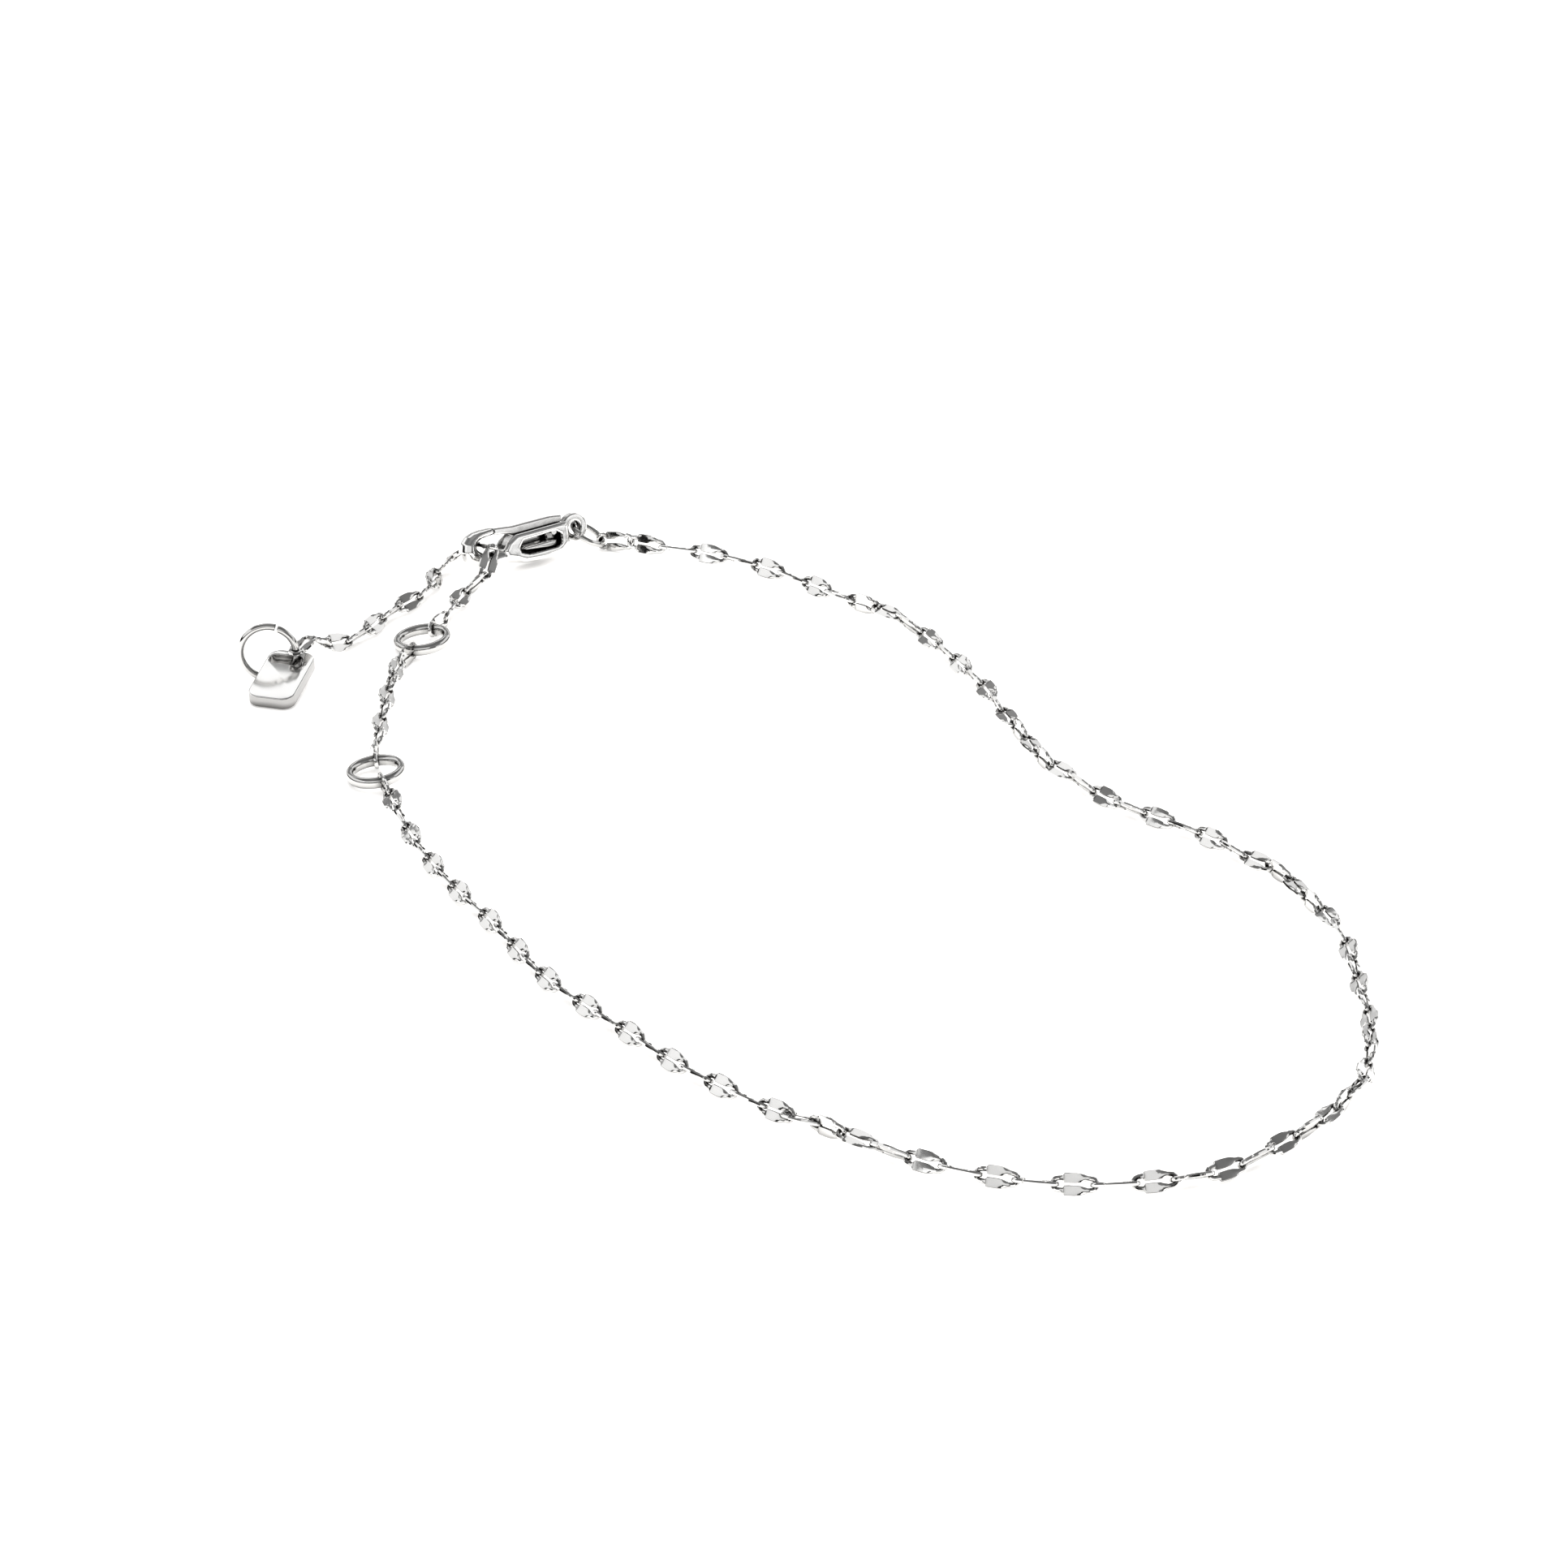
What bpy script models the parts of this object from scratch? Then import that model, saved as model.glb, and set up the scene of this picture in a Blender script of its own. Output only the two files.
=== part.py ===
"""Silver anklet: a mirror-link cable chain with a lobster clasp, two size rings, an end ring and a tag.

It lies on the surface z = 0 as it was laid down, fastened between the second size ring and the tag.
The origin is under the middle of its box. Sizes are in millimetres times MM.
"""
import math

import bmesh
import bpy
from mathutils import Matrix, Vector

MM = 0.001
UP = Vector((0.0, 0.0, 1.0))

# Chain link
LINK_PITCH = 2.75 * MM
LINK_WIDTH = 1.64 * MM
LINK_WIRE = 0.40 * MM
LINK_SIDES = 5
LEAF_WIDTH = 0.62 * MM
LEAF_THICKNESS = 0.36 * MM
LEAF_LENGTH = 1.40 * MM
LEAF_END_WIDTH = 0.42 * MM
LINK_END_BAR = 0.72 * MM
OPEN_END_BAR = 1.06 * MM
OPEN_LINK_WIDTH = 1.74 * MM
JOIN_OVERLAP = 0.12 * MM
WIRE_GAP = 0.08 * MM
LINKS_MEET = 0.30 * MM
FLOOR_GAP = 0.18 * MM

# Rings
SIZE_RING_OUTER = 4.90 * MM
SIZE_RING_WIRE = 0.65 * MM
SIZE_RING_TILT = math.radians(7.0)
JUMP_RING_OUTER = 3.50 * MM
JUMP_RING_WIRE = 0.50 * MM
JUMP_RING_NORMAL = (0.49, 0.06, 0.87)
END_RING_OUTER = 4.80 * MM
END_RING_WIRE = 0.58 * MM
CUT_RING_SEAM = 0.12 * MM
CUT_RING_OFFSET = 0.16 * MM
RING_SEGMENTS = 16
RING_WIRE_SIDES = 6

# Clasp
CLASP_EYE_OUTER = 2.70 * MM
CLASP_EYE_HOLE = 1.40 * MM
CLASP_EYE_THICKNESS = 0.70 * MM
CLASP_THICKNESS = 2.10 * MM
CLASP_HEADING = math.radians(215.0)
CLASP_LEAN = math.radians(15.0)
CLASPED_LINK_ROLL = math.radians(-24.0)
HOUSING_BEVEL = 0.30 * MM
SLOT_THICKNESS = 1.30 * MM
LEVER_GAP = 0.15 * MM
PIVOT_ALONG = 2.50 * MM
PIVOT_DOWN = -0.30 * MM
PIN_RADIUS = 0.25 * MM
PIN_GAP = 0.05 * MM

# Tag
TAG_WIDTH = 4.00 * MM
TAG_LENGTH = 6.90 * MM
TAG_THICKNESS = 1.05 * MM
TAG_CORNER = 0.80 * MM
TAG_SLOT_LENGTH = 2.80 * MM
TAG_SLOT_WIDTH = 1.25 * MM
TAG_SLOT_INSET = 0.70 * MM
TAG_SLOT_ASIDE = -0.35 * MM
TAG_LIFT = 0.06 * MM
TAG_TURN = math.radians(-20.0)
TAG_TILT = math.radians(10.0)

# Places on the surface, chosen by hand, in millimetres
SIZE_RING_1_PLACE = (-32.50, 10.42, 0.90)
SIZE_RING_2_PLACE = (-29.95, 35.62, 0.90)
JUMP_RING_PLACE = (-16.68, 55.93, 1.53)
CLASP_EYE_PLACE = (-17.95, 55.60, 2.30)
END_RING_PLACE = (-42.20, 29.34, 2.42)
TAG_PLACE = (-40.95, 27.20)

# Moves the whole anklet so that its box stands centred on the origin
TO_ORIGIN = (0.02, 0.13, 0.01)

# Routes: x and y in millimetres, and the roll of the odd links in degrees
MAIN_ROUTE = (
    (-14.3, 56.3, 20), (-11.6, 54.7, -8), (-6.2, 53.0, -31), (-1.1, 49.9, -31), (3.0, 46.1, -30),
    (6.9, 42.4, -8), (8.9, 41.1, 15), (12.4, 35.6, 36), (14.8, 30.6, 36), (16.9, 25.6, 34),
    (18.4, 20.3, 10), (19.4, 17.8, -6), (21.1, 12.4, -6), (22.4, 10.6, 25), (25.7, 5.6, 40),
    (29.7, 2.0, 50), (33.8, -1.6, 50), (37.0, -5.9, 34), (38.7, -7.5, 2), (40.8, -12.9, -12),
    (42.0, -15.1, 18), (43.2, -20.7, 40), (43.6, -26.3, 40), (43.9, -31.8, 40), (43.8, -36.1, 50),
    (43.0, -40.2, 58), (41.6, -43.1, 20), (39.8, -46.9, -8), (36.2, -51.0, -30), (31.9, -54.8, -45),
    (26.7, -56.7, -60), (20.9, -57.2, -64), (15.4, -56.1, -64), (10.3, -53.8, -55), (5.5, -50.6, -20),
    (3.3, -48.5, 2), (-0.4, -46.2, 30), (-4.4, -42.4, 37), (-8.0, -38.5, 39), (-11.2, -34.2, 40),
    (-14.5, -29.8, 41), (-17.6, -25.5, 42), (-20.0, -20.7, 44), (-22.3, -15.7, 46), (-24.9, -10.9, 47),
    (-27.1, -6.1, 49), (-29.1, -1.0, 52), (-30.8, 4.3, 56),
)
SIZE_ROUTE = ((-32.7, 16.0, 40), (-32.5, 21.3, 42), (-32.2, 27.0, 44), (-31.7, 30.7, 60))
# The tail also has heights, since it climbs through the clasp: x, y, z and the roll
TAIL_TO_CLASP = (
    (-28.1, 40.3, 0.88, 30), (-27.4, 43.4, 0.88, 30), (-26.2, 46.3, 0.90, 20), (-25.3, 47.5, 1.20, 10),
    (-24.54, 49.49, 3.10, 0),
)
TAIL_FROM_CLASP = (
    (-26.08, 51.69, 2.38, 0), (-28.5, 51.6, 0.95, 30), (-29.4, 49.3, 0.88, 40), (-29.7, 46.8, 0.88, 40),
    (-30.9, 43.8, 0.88, 40), (-32.4, 42.0, 0.88, 40), (-33.5, 40.0, 0.88, 40), (-34.5, 37.9, 0.88, 40),
    (-35.6, 36.2, 0.88, 40), (-36.8, 34.6, 0.85, 30), (-38.0, 33.4, 1.60, 10), (-38.9, 31.9, 2.80, 0),
)
ROUTE_STEPS = 24
MAIN_CHAIN_SPLIT = 0.5


def clear_scene():
    for item in list(bpy.data.objects):
        bpy.data.objects.remove(item, do_unlink=True)


def new_collection(name):
    collection = bpy.data.collections.new(name)
    bpy.context.scene.collection.children.link(collection)
    return collection


def silver(name, roughness):
    material = bpy.data.materials.new(name)
    material.use_nodes = True
    shader = material.node_tree.nodes["Principled BSDF"]
    shader.inputs["Base Color"].default_value = (0.93, 0.93, 0.92, 1.0)
    shader.inputs["Metallic"].default_value = 1.0
    shader.inputs["Roughness"].default_value = roughness
    return material


def object_from_bmesh(name, shape, collection, material):
    mesh = bpy.data.meshes.new(name)
    bmesh.ops.recalc_face_normals(shape, faces=shape.faces)
    shape.to_mesh(mesh)
    shape.free()
    mesh.shade_smooth()
    mesh.set_sharp_from_angle(angle=math.radians(35.0))
    item = bpy.data.objects.new(name, mesh)
    item.data.materials.append(material)
    collection.objects.link(item)
    return item


def as_cutter(item, cutters):
    for owner in list(item.users_collection):
        owner.objects.unlink(item)
    cutters.objects.link(item)
    item.hide_render = True
    item.display_type = "WIRE"


def boolean(item, other, operation):
    modifier = item.modifiers.new(operation.title() + " " + other.name, "BOOLEAN")
    modifier.object = other
    modifier.operation = operation


def smooth(item):
    item.data.shade_smooth()
    item.data.set_sharp_from_angle(angle=math.radians(35.0))


def add_loft(shape, rings, closed):
    """Skin over rings of points: a closed loop, or a bar with its ends filled."""
    rows = [[shape.verts.new(point) for point in ring] for ring in rings]
    sides = len(rows[0])
    pairs = list(zip(rows, rows[1:]))
    if closed:
        pairs.append((rows[-1], rows[0]))
    for low, high in pairs:
        for side in range(sides):
            after = (side + 1) % sides
            shape.faces.new((low[side], low[after], high[after], high[side]))
    if not closed:
        shape.faces.new(rows[0])
        shape.faces.new(rows[-1])


def section(centre, across, over, width, thickness, sides):
    """Ring of points round a wire or a flattened bar, a vertex on its outer side."""
    ring = []
    for side in range(sides):
        angle = 2.0 * math.pi * side / sides
        ring.append(centre + across * (width / 2 * math.cos(angle)) + over * (thickness / 2 * math.sin(angle)))
    return ring


# Chain


def inner_flat(width):
    """Distance from a section's centre to its flat inner side."""
    return width / 2 * math.cos(math.pi / LINK_SIDES)


def link_stations(reach_back, reach_ahead, opened):
    """Stations round a link: x along, y across, width and thickness of the section there."""
    leaf_width = LINK_WIRE if opened else LEAF_WIDTH
    leaf_end = LINK_WIRE if opened else LEAF_END_WIDTH
    width = OPEN_LINK_WIDTH if opened else LINK_WIDTH
    end_bar = (OPEN_END_BAR if opened else LINK_END_BAR) / 2
    upper = [
        (reach_ahead, end_bar, LINK_WIRE, LINK_WIRE),
        (LEAF_LENGTH / 2, (width - leaf_end) / 2, leaf_end, LINK_WIRE),
        (0.0, (width - leaf_width) / 2, leaf_width, LEAF_THICKNESS),
        (-LEAF_LENGTH / 2, (width - leaf_end) / 2, leaf_end, LINK_WIRE),
        (-reach_back, end_bar, LINK_WIRE, LINK_WIRE),
    ]
    lower = [(x, -y, wide, thick) for x, y, wide, thick in reversed(upper)]
    return upper + lower


def add_link(shape, frame, reach_back, reach_ahead, opened):
    """One link in a frame whose X runs along the chain and whose Y is its width."""
    stations = link_stations(reach_back, reach_ahead, opened)
    rings = []
    for index, (x, y, width, thickness) in enumerate(stations):
        before = stations[index - 1]
        after = stations[(index + 1) % len(stations)]
        run = Vector((after[0] - before[0], after[1] - before[1], 0.0)).normalized()
        outward = run.cross(UP)
        ring = section(Vector((x, y, 0.0)), outward, UP, width, thickness, LINK_SIDES)
        rings.append([frame @ point for point in ring])
    add_loft(shape, rings, closed=True)


def rest_height(roll):
    """Height of the chain's line above the surface for this roll."""
    turn = math.radians(roll)
    steep = max(abs(math.sin(turn)), abs(math.cos(turn)))
    shallow = min(abs(math.sin(turn)), abs(math.cos(turn)))
    return LINK_WIDTH / 2 * steep + LINK_WIRE / 2 * shallow + FLOOR_GAP


def on_surface(rows):
    """Route rows of x, y and roll, with the height that the roll gives."""
    return [(x * MM, y * MM, rest_height(roll), roll) for x, y, roll in rows]


def above_surface(rows):
    return [(x * MM, y * MM, z * MM, roll) for x, y, z, roll in rows]


def smooth_route(rows):
    """Dense points, with their rolls, on a Catmull-Rom curve through the rows."""
    rows = [tuple(2 * a - b for a, b in zip(rows[0], rows[1]))] + list(rows)
    rows.append(tuple(2 * a - b for a, b in zip(rows[-1], rows[-2])))
    dense = []
    for first, start, end, last in zip(rows, rows[1:], rows[2:], rows[3:]):
        for step in range(ROUTE_STEPS):
            t = step / ROUTE_STEPS
            point = []
            for a, b, c, d in zip(first, start, end, last):
                curve = (2 * b + (c - a) * t + (2 * a - 5 * b + 4 * c - d) * t ** 2
                         + (3 * b - a - 3 * c + d) * t ** 3) / 2
                point.append(curve)
            dense.append((Vector(point[:3]), point[3]))
    dense.append((Vector(rows[-2][:3]), rows[-2][3]))
    return dense


def chords(dense, pitch, count):
    """Joints one pitch apart along the route, and how far the last one is past its end."""
    joints = [dense[0]]
    place = 0
    while len(joints) <= count:
        here = joints[-1][0]
        while place + 1 < len(dense) and (dense[place + 1][0] - here).length < pitch:
            place += 1
        if place + 1 == len(dense):
            missing = pitch - (dense[-1][0] - here).length
            return joints, missing + (count - len(joints)) * pitch
        near, far = dense[place], dense[place + 1]
        low, high = 0.0, 1.0
        for _ in range(30):
            middle = (low + high) / 2
            if (near[0].lerp(far[0], middle) - here).length < pitch:
                low = middle
            else:
                high = middle
        joints.append((near[0].lerp(far[0], low), near[1] + (far[1] - near[1]) * low))
    rest = sum((b[0] - a[0]).length for a, b in zip(dense[place:], dense[place + 1:]))
    return joints, -rest


def chain_joints(rows):
    """Equal chords along the whole route, as near to the link pitch as fits."""
    dense = smooth_route(rows)
    length = sum((b[0] - a[0]).length for a, b in zip(dense, dense[1:]))
    count = max(2, round(length / LINK_PITCH))
    low, high = 0.8 * length / count, 1.05 * length / count
    for _ in range(50):
        pitch = (low + high) / 2
        joints, past = chords(dense, pitch, count)
        if past > 0:
            high = pitch
        else:
            low = pitch
    joints, _ = chords(dense, low, count)
    joints = joints[:count]
    joints.append(dense[-1])
    return joints


def link_frames(joints, set_widths):
    """A frame and half-length for each link: X along it, Y its width, turned by its roll.

    set_widths gives the width direction of chosen links, such as those that hold a ring.
    """
    frames = []
    side = None
    for index, (start, end) in enumerate(zip(joints, joints[1:])):
        along = end[0] - start[0]
        half = along.length / 2
        along.normalize()
        side = UP.cross(along) if side is None else side - along * side.dot(along)
        side.normalize()
        over = along.cross(side)
        roll = (start[1] + end[1]) / 2 + 90.0 * (index % 2)
        turn = math.radians(roll)
        wide = side * math.cos(turn) + over * math.sin(turn)
        for chosen, direction in set_widths:
            if chosen % (len(joints) - 1) == index:
                wide = (direction - along * direction.dot(along)).normalized()
        axes = Matrix((along, wide, along.cross(wide))).transposed().to_4x4()
        frames.append((Matrix.Translation((start[0] + end[0]) / 2) @ axes, half))
    return frames


def ring_reach(ring_wire):
    """From a ring wire's centre to the centre of the link end that holds it."""
    return ring_wire / 2 + WIRE_GAP + inner_flat(LINK_WIRE)


def build_chain(name, frames, first_reach, last_reach, open_ends, collection, cutters, material):
    """One fused body from a run of links: every other link is one mesh, and the two are united."""
    joined = inner_flat(LINK_WIRE) - JOIN_OVERLAP / 2
    halves = [bmesh.new(), bmesh.new()]
    last = len(frames) - 1
    for index, (frame, half) in enumerate(frames):
        back = half + (first_reach if index == 0 else joined)
        ahead = half + (last_reach if index == last else joined)
        opened = (index == 0 and open_ends[0]) or (index == last and open_ends[1])
        add_link(halves[index % 2], frame, back, ahead, opened)
    chain = object_from_bmesh(name, halves[0], collection, material)
    others = object_from_bmesh(name + "_others", halves[1], cutters, material)
    others.hide_render = True
    others.display_type = "WIRE"
    boolean(chain, others, "UNION")
    return chain


# Rings


def ring_radius(outer, wire):
    return (outer - wire) / 2


def row_on_ring(placement, radius, neighbour):
    """Route row on a ring's wire, on the side of the neighbouring row."""
    local = placement.inverted() @ Vector(neighbour[:3])
    local.z = 0.0
    return tuple(placement @ (local.normalized() * radius)) + (neighbour[3],)


def ring_axis(placement):
    return placement.to_3x3().col[2].copy()


def soldered_ring(name, placement, outer, wire, collection, material):
    bpy.ops.mesh.primitive_torus_add(
        major_segments=RING_SEGMENTS, minor_segments=RING_WIRE_SIDES,
        major_radius=ring_radius(outer, wire), minor_radius=wire / 2)
    ring = bpy.context.object
    ring.name = name
    ring.data.name = name
    ring.matrix_world = placement
    ring.data.materials.append(material)
    smooth(ring)
    for owner in list(ring.users_collection):
        owner.objects.unlink(ring)
    collection.objects.link(ring)
    return ring


def cut_ring(name, placement, outer, wire, seam_degrees, collection, material):
    """Ring of round wire whose two cut ends pass each other slightly."""
    radius = ring_radius(outer, wire)
    gap = CUT_RING_SEAM / radius
    rings = []
    for step in range(RING_SEGMENTS + 1):
        share = step / RING_SEGMENTS
        turn = math.radians(seam_degrees) + gap / 2 + share * (2.0 * math.pi - gap)
        outward = Vector((math.cos(turn), math.sin(turn), 0.0))
        centre = outward * radius + UP * (CUT_RING_OFFSET * (share - 0.5))
        rings.append(section(centre, outward, UP, wire, wire, RING_WIRE_SIDES))
    shape = bmesh.new()
    add_loft(shape, rings, closed=False)
    ring = object_from_bmesh(name, shape, collection, material)
    ring.matrix_world = placement
    smooth(ring)
    return ring


# Clasp: X runs from the eye to the nose, Y down to the spine, Z out of the flank that is seen

# Spine and hook: share of millimetres for x, y, width in the profile and thickness
CLASP_BAR = (
    (1.00, 0.30, 1.10, 0.90), (2.30, 1.00, 1.30, 1.70), (4.20, 1.45, 1.15, 2.10), (6.00, 1.00, 1.45, 2.05),
    (7.60, 0.78, 1.15, 1.95), (8.90, 0.75, 0.95, 1.90), (10.05, 0.40, 1.10, 1.90), (10.72, -0.45, 1.20, 1.85),
    (10.30, -1.28, 0.95, 1.60), (9.30, -1.60, 0.58, 1.35), (8.14, -1.60, 0.52, 1.10),
)
HOUSING_OUTLINE = (
    (1.00, -0.72), (1.60, -0.80), (6.30, -0.80), (6.30, 1.30), (5.20, 1.95), (3.60, 1.95), (1.90, 1.45),
    (1.00, 0.80),
)
SLOT_OUTLINE = (
    (1.75, -2.60), (6.80, -2.60), (6.80, 0.10), (5.90, 0.30), (5.20, 1.10), (2.30, 1.10), (1.75, 0.70),
)
WINDOW_OUTLINE = ((3.15, -0.25), (5.70, 0.30), (5.90, 0.60), (5.70, 0.95), (3.30, 0.75), (3.05, 0.40))
LEVER_OUTLINE = (
    (1.15, -1.40), (2.40, -1.58), (6.20, -1.62), (7.85, -1.75), (7.85, -1.35), (6.60, -1.10), (5.60, -0.25),
    (4.60, 0.20), (2.60, 0.22), (2.00, 0.05), (2.00, -0.90), (1.15, -0.98),
)


def clasp_bar(collection, material):
    """Loft of eight-sided sections along the spine, round the nose and back to the hook's tip."""
    rings = []
    for index, (x, y, width, thickness) in enumerate(CLASP_BAR):
        before = CLASP_BAR[max(index - 1, 0)]
        after = CLASP_BAR[min(index + 1, len(CLASP_BAR) - 1)]
        run = Vector((after[0] - before[0], after[1] - before[1], 0.0)).normalized()
        centre = Vector((x, y, 0.0)) * MM
        rings.append(section(centre, run.cross(UP), UP, width * MM, thickness * MM, 8))
    shape = bmesh.new()
    add_loft(shape, rings, closed=False)
    return object_from_bmesh("clasp_body", shape, collection, material)


def in_millimetres(outline):
    return [(x * MM, y * MM) for x, y in outline]


def plate(name, outline, thickness, bevel, collection, material):
    """Flat outline in X and Y, thickened about z = 0, with its long edges bevelled."""
    shape = bmesh.new()
    base = shape.faces.new([shape.verts.new((x, y, -thickness / 2)) for x, y in outline])
    grown = bmesh.ops.extrude_face_region(shape, geom=[base])
    tops = [part for part in grown["geom"] if isinstance(part, bmesh.types.BMVert)]
    bmesh.ops.translate(shape, verts=tops, vec=(0.0, 0.0, thickness))
    if bevel:
        edges = [edge for edge in shape.edges if abs(edge.verts[0].co.z - edge.verts[1].co.z) < thickness / 2]
        bmesh.ops.bevel(shape, geom=edges, offset=bevel, segments=1, affect="EDGES")
    return object_from_bmesh(name, shape, collection, material)


def cylinder(name, radius, length, centre, sides, collection, material):
    shape = bmesh.new()
    bmesh.ops.create_cone(shape, cap_ends=True, segments=sides, radius1=radius, radius2=radius, depth=length)
    bmesh.ops.transform(shape, matrix=Matrix.Translation(centre), verts=shape.verts)
    return object_from_bmesh(name, shape, collection, material)


def pin_hole(name, length, collection, material):
    centre = Vector((PIVOT_ALONG, PIVOT_DOWN, 0.0))
    return cylinder(name, PIN_RADIUS + PIN_GAP, length, centre, 12, collection, material)


def build_clasp_body(placement, collection, cutters, material):
    body = clasp_bar(collection, material)
    housing = plate("clasp_housing", in_millimetres(HOUSING_OUTLINE), CLASP_THICKNESS, HOUSING_BEVEL,
                    cutters, material)
    eye = cylinder("clasp_eye", CLASP_EYE_OUTER / 2, CLASP_EYE_THICKNESS, Vector(), 20, cutters, material)
    slot = plate("clasp_slot", in_millimetres(SLOT_OUTLINE), SLOT_THICKNESS, 0.0, cutters, material)
    window = plate("clasp_window", in_millimetres(WINDOW_OUTLINE), 2 * CLASP_THICKNESS, 0.0, cutters, material)
    eye_hole = cylinder("clasp_eye_hole", CLASP_EYE_HOLE / 2, 3 * CLASP_THICKNESS, Vector(), 16, cutters, material)
    pivot_hole = pin_hole("clasp_pin_hole", 2 * CLASP_THICKNESS, cutters, material)
    for part in (housing, eye):
        boolean(body, part, "UNION")
    for part in (slot, window, eye_hole, pivot_hole):
        boolean(body, part, "DIFFERENCE")
    body.matrix_world = placement
    for part in (housing, eye, slot, window, eye_hole, pivot_hole):
        as_cutter(part, cutters)
        part.matrix_world = placement
    return body


def build_clasp_lever(placement, collection, cutters, material):
    """Plate on the pin inside the slot, whose arm shuts the hook."""
    lever = plate("clasp_lever", in_millimetres(LEVER_OUTLINE), SLOT_THICKNESS - 2 * LEVER_GAP, 0.0,
                  collection, material)
    hole = pin_hole("clasp_lever_hole", 2 * CLASP_THICKNESS, cutters, material)
    as_cutter(hole, cutters)
    boolean(lever, hole, "DIFFERENCE")
    lever.matrix_world = placement
    hole.matrix_world = placement
    return lever


def build_clasp_pin(placement, collection, material):
    centre = Vector((PIVOT_ALONG, PIVOT_DOWN, 0.0))
    pin = cylinder("clasp_pin", PIN_RADIUS, CLASP_THICKNESS, centre, 12, collection, material)
    pin.matrix_world = placement
    smooth(pin)
    return pin


# Tag


def rounded_outline(width, length, corner, steps):
    points = []
    for quarter, (sx, sy) in enumerate(((1, -1), (1, 1), (-1, 1), (-1, -1))):
        centre = (sx * (width / 2 - corner), sy * (length / 2 - corner))
        for step in range(steps + 1):
            turn = math.pi / 2 * (quarter - 1 + step / steps)
            points.append((centre[0] + corner * math.cos(turn), centre[1] + corner * math.sin(turn)))
    return points


def build_tag(placement, collection, cutters, material):
    tag = plate("tag", rounded_outline(TAG_WIDTH, TAG_LENGTH, TAG_CORNER, 3), TAG_THICKNESS, 0.0,
                collection, material)
    slot = plate("tag_slot", rounded_outline(TAG_SLOT_LENGTH, TAG_SLOT_WIDTH, TAG_SLOT_WIDTH * 0.45, 2),
                 2 * TAG_THICKNESS, 0.0, cutters, material)
    as_cutter(slot, cutters)
    boolean(tag, slot, "DIFFERENCE")
    tag.matrix_world = placement
    along = TAG_LENGTH / 2 - TAG_SLOT_INSET - TAG_SLOT_WIDTH / 2
    slot.matrix_world = placement @ Matrix.Translation((TAG_SLOT_ASIDE, along, 0.0))
    return tag


def tag_placement():
    """The lower edge rests on the surface and the slotted end on the end ring."""
    turn = Matrix.Rotation(TAG_TURN, 4, "Z") @ Matrix.Rotation(TAG_TILT, 4, "X")
    height = TAG_THICKNESS / 2 * math.cos(TAG_TILT) + TAG_LENGTH / 2 * math.sin(TAG_TILT) + TAG_LIFT
    return Matrix.Translation((TAG_PLACE[0] * MM, TAG_PLACE[1] * MM, height)) @ turn


def clasp_placement():
    """It stands on its spine and leans back, so that its flank faces forward and up."""
    turn = Matrix.Rotation(CLASP_HEADING, 4, "Z") @ Matrix.Rotation(CLASP_LEAN - math.pi / 2, 4, "X")
    return Matrix.Translation(Vector(CLASP_EYE_PLACE) * MM) @ turn


def ring_placement(place, normal):
    turn = Vector(normal).to_track_quat("Z", "Y").to_matrix().to_4x4()
    return Matrix.Translation(Vector(place) * MM) @ turn


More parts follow.
